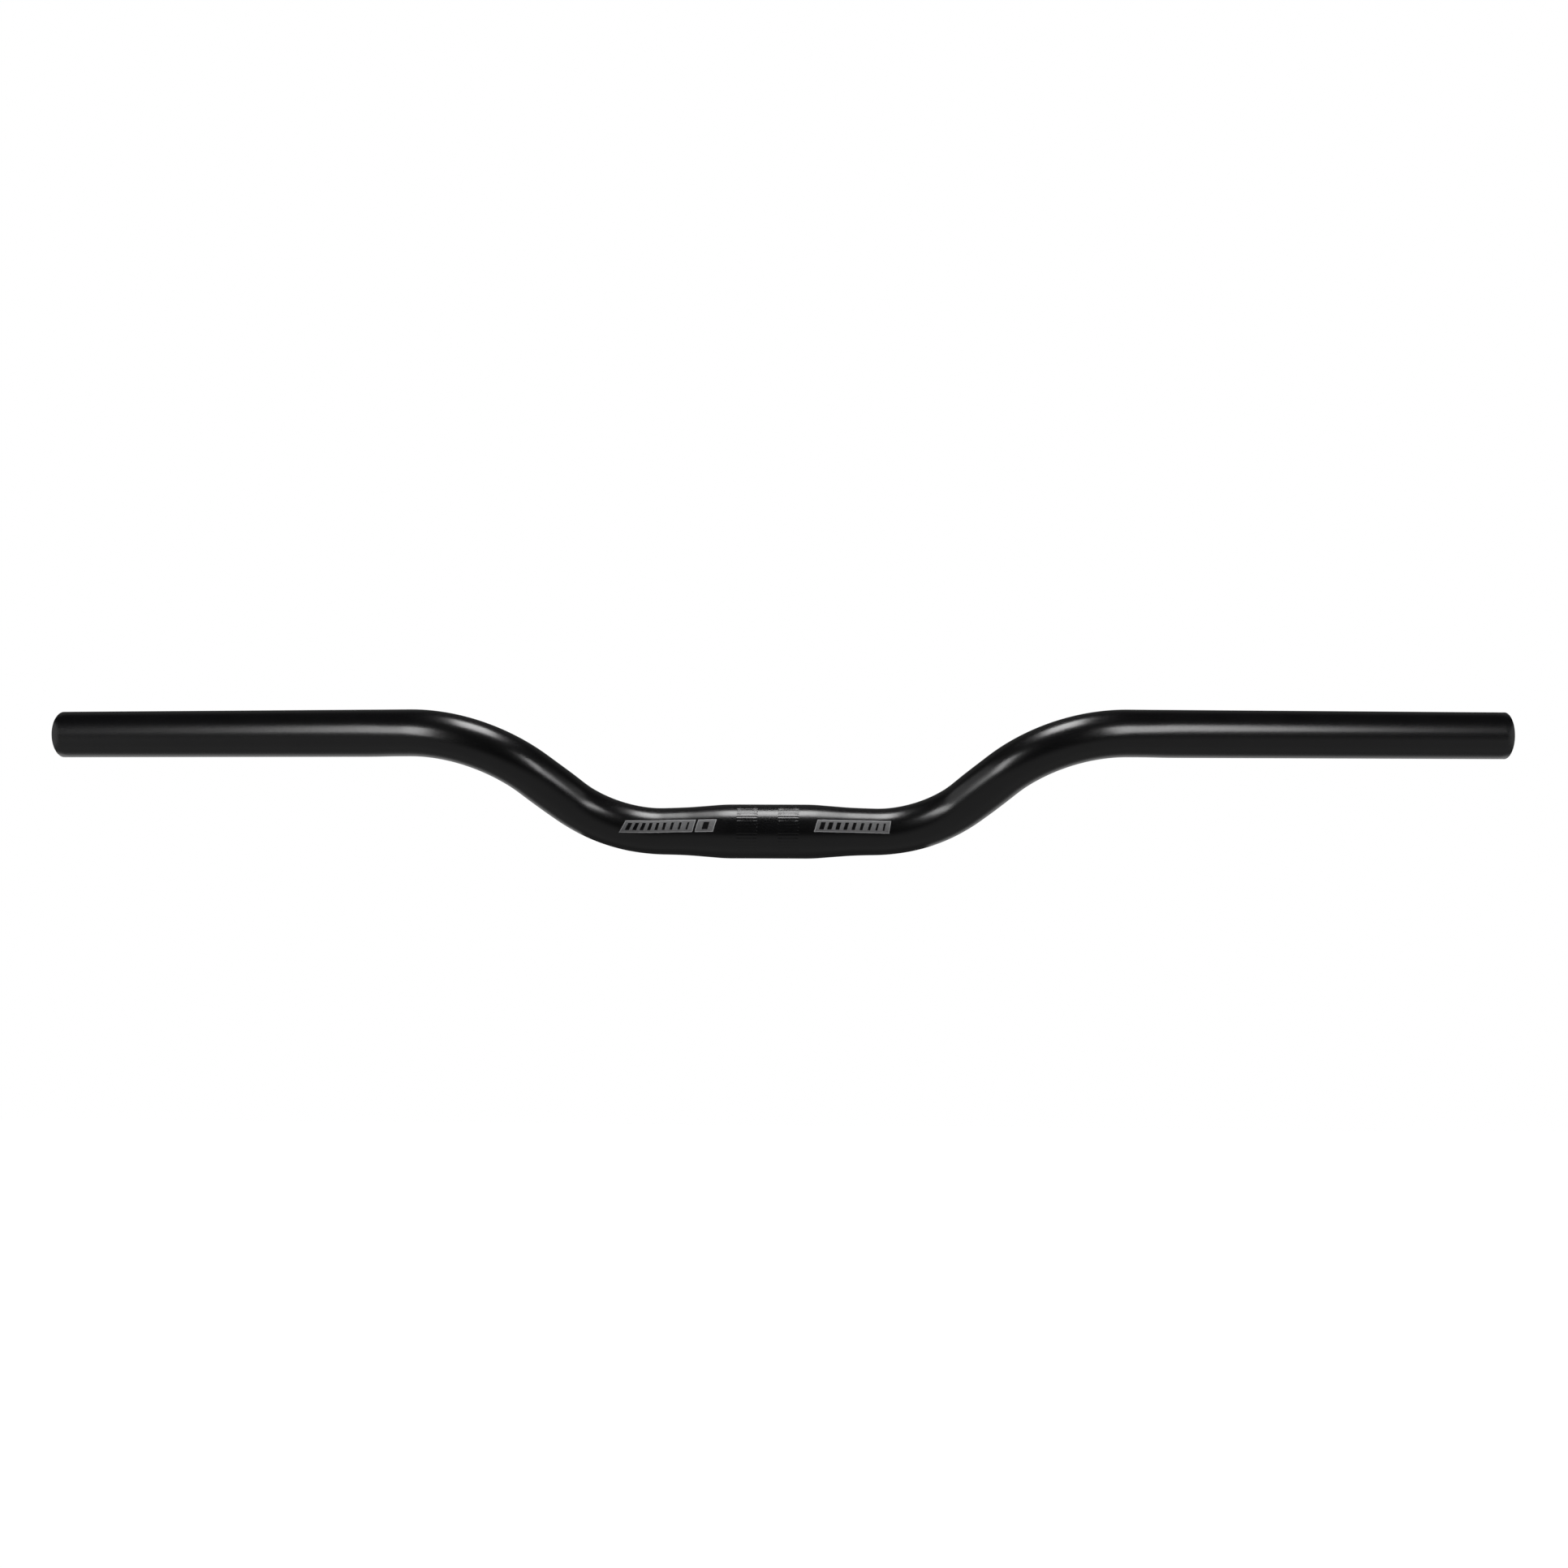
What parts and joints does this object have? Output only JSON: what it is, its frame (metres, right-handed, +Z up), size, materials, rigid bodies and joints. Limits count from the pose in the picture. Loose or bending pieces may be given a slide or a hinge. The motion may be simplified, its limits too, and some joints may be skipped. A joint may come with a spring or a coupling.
{
  "type": "bicycle riser handlebar",
  "caption": "Bent aluminium tube riser handlebar with a knurled clamp bulge, swept grips and open ends.",
  "frame": {"origin": "middle of the clamp bulge, on the axis that the stem holds", "axes": "+X along the clamp towards the end at the picture's right, -Y towards the bicycle's front, +Z up, the way the grips rise"},
  "size_m": [0.6998, 0.0771, 0.0696],
  "materials": {
    "bar": "satin"
  },
  "bodies": {
    "root": {"handlebar": "bar"}
  },
  "joints": []
}
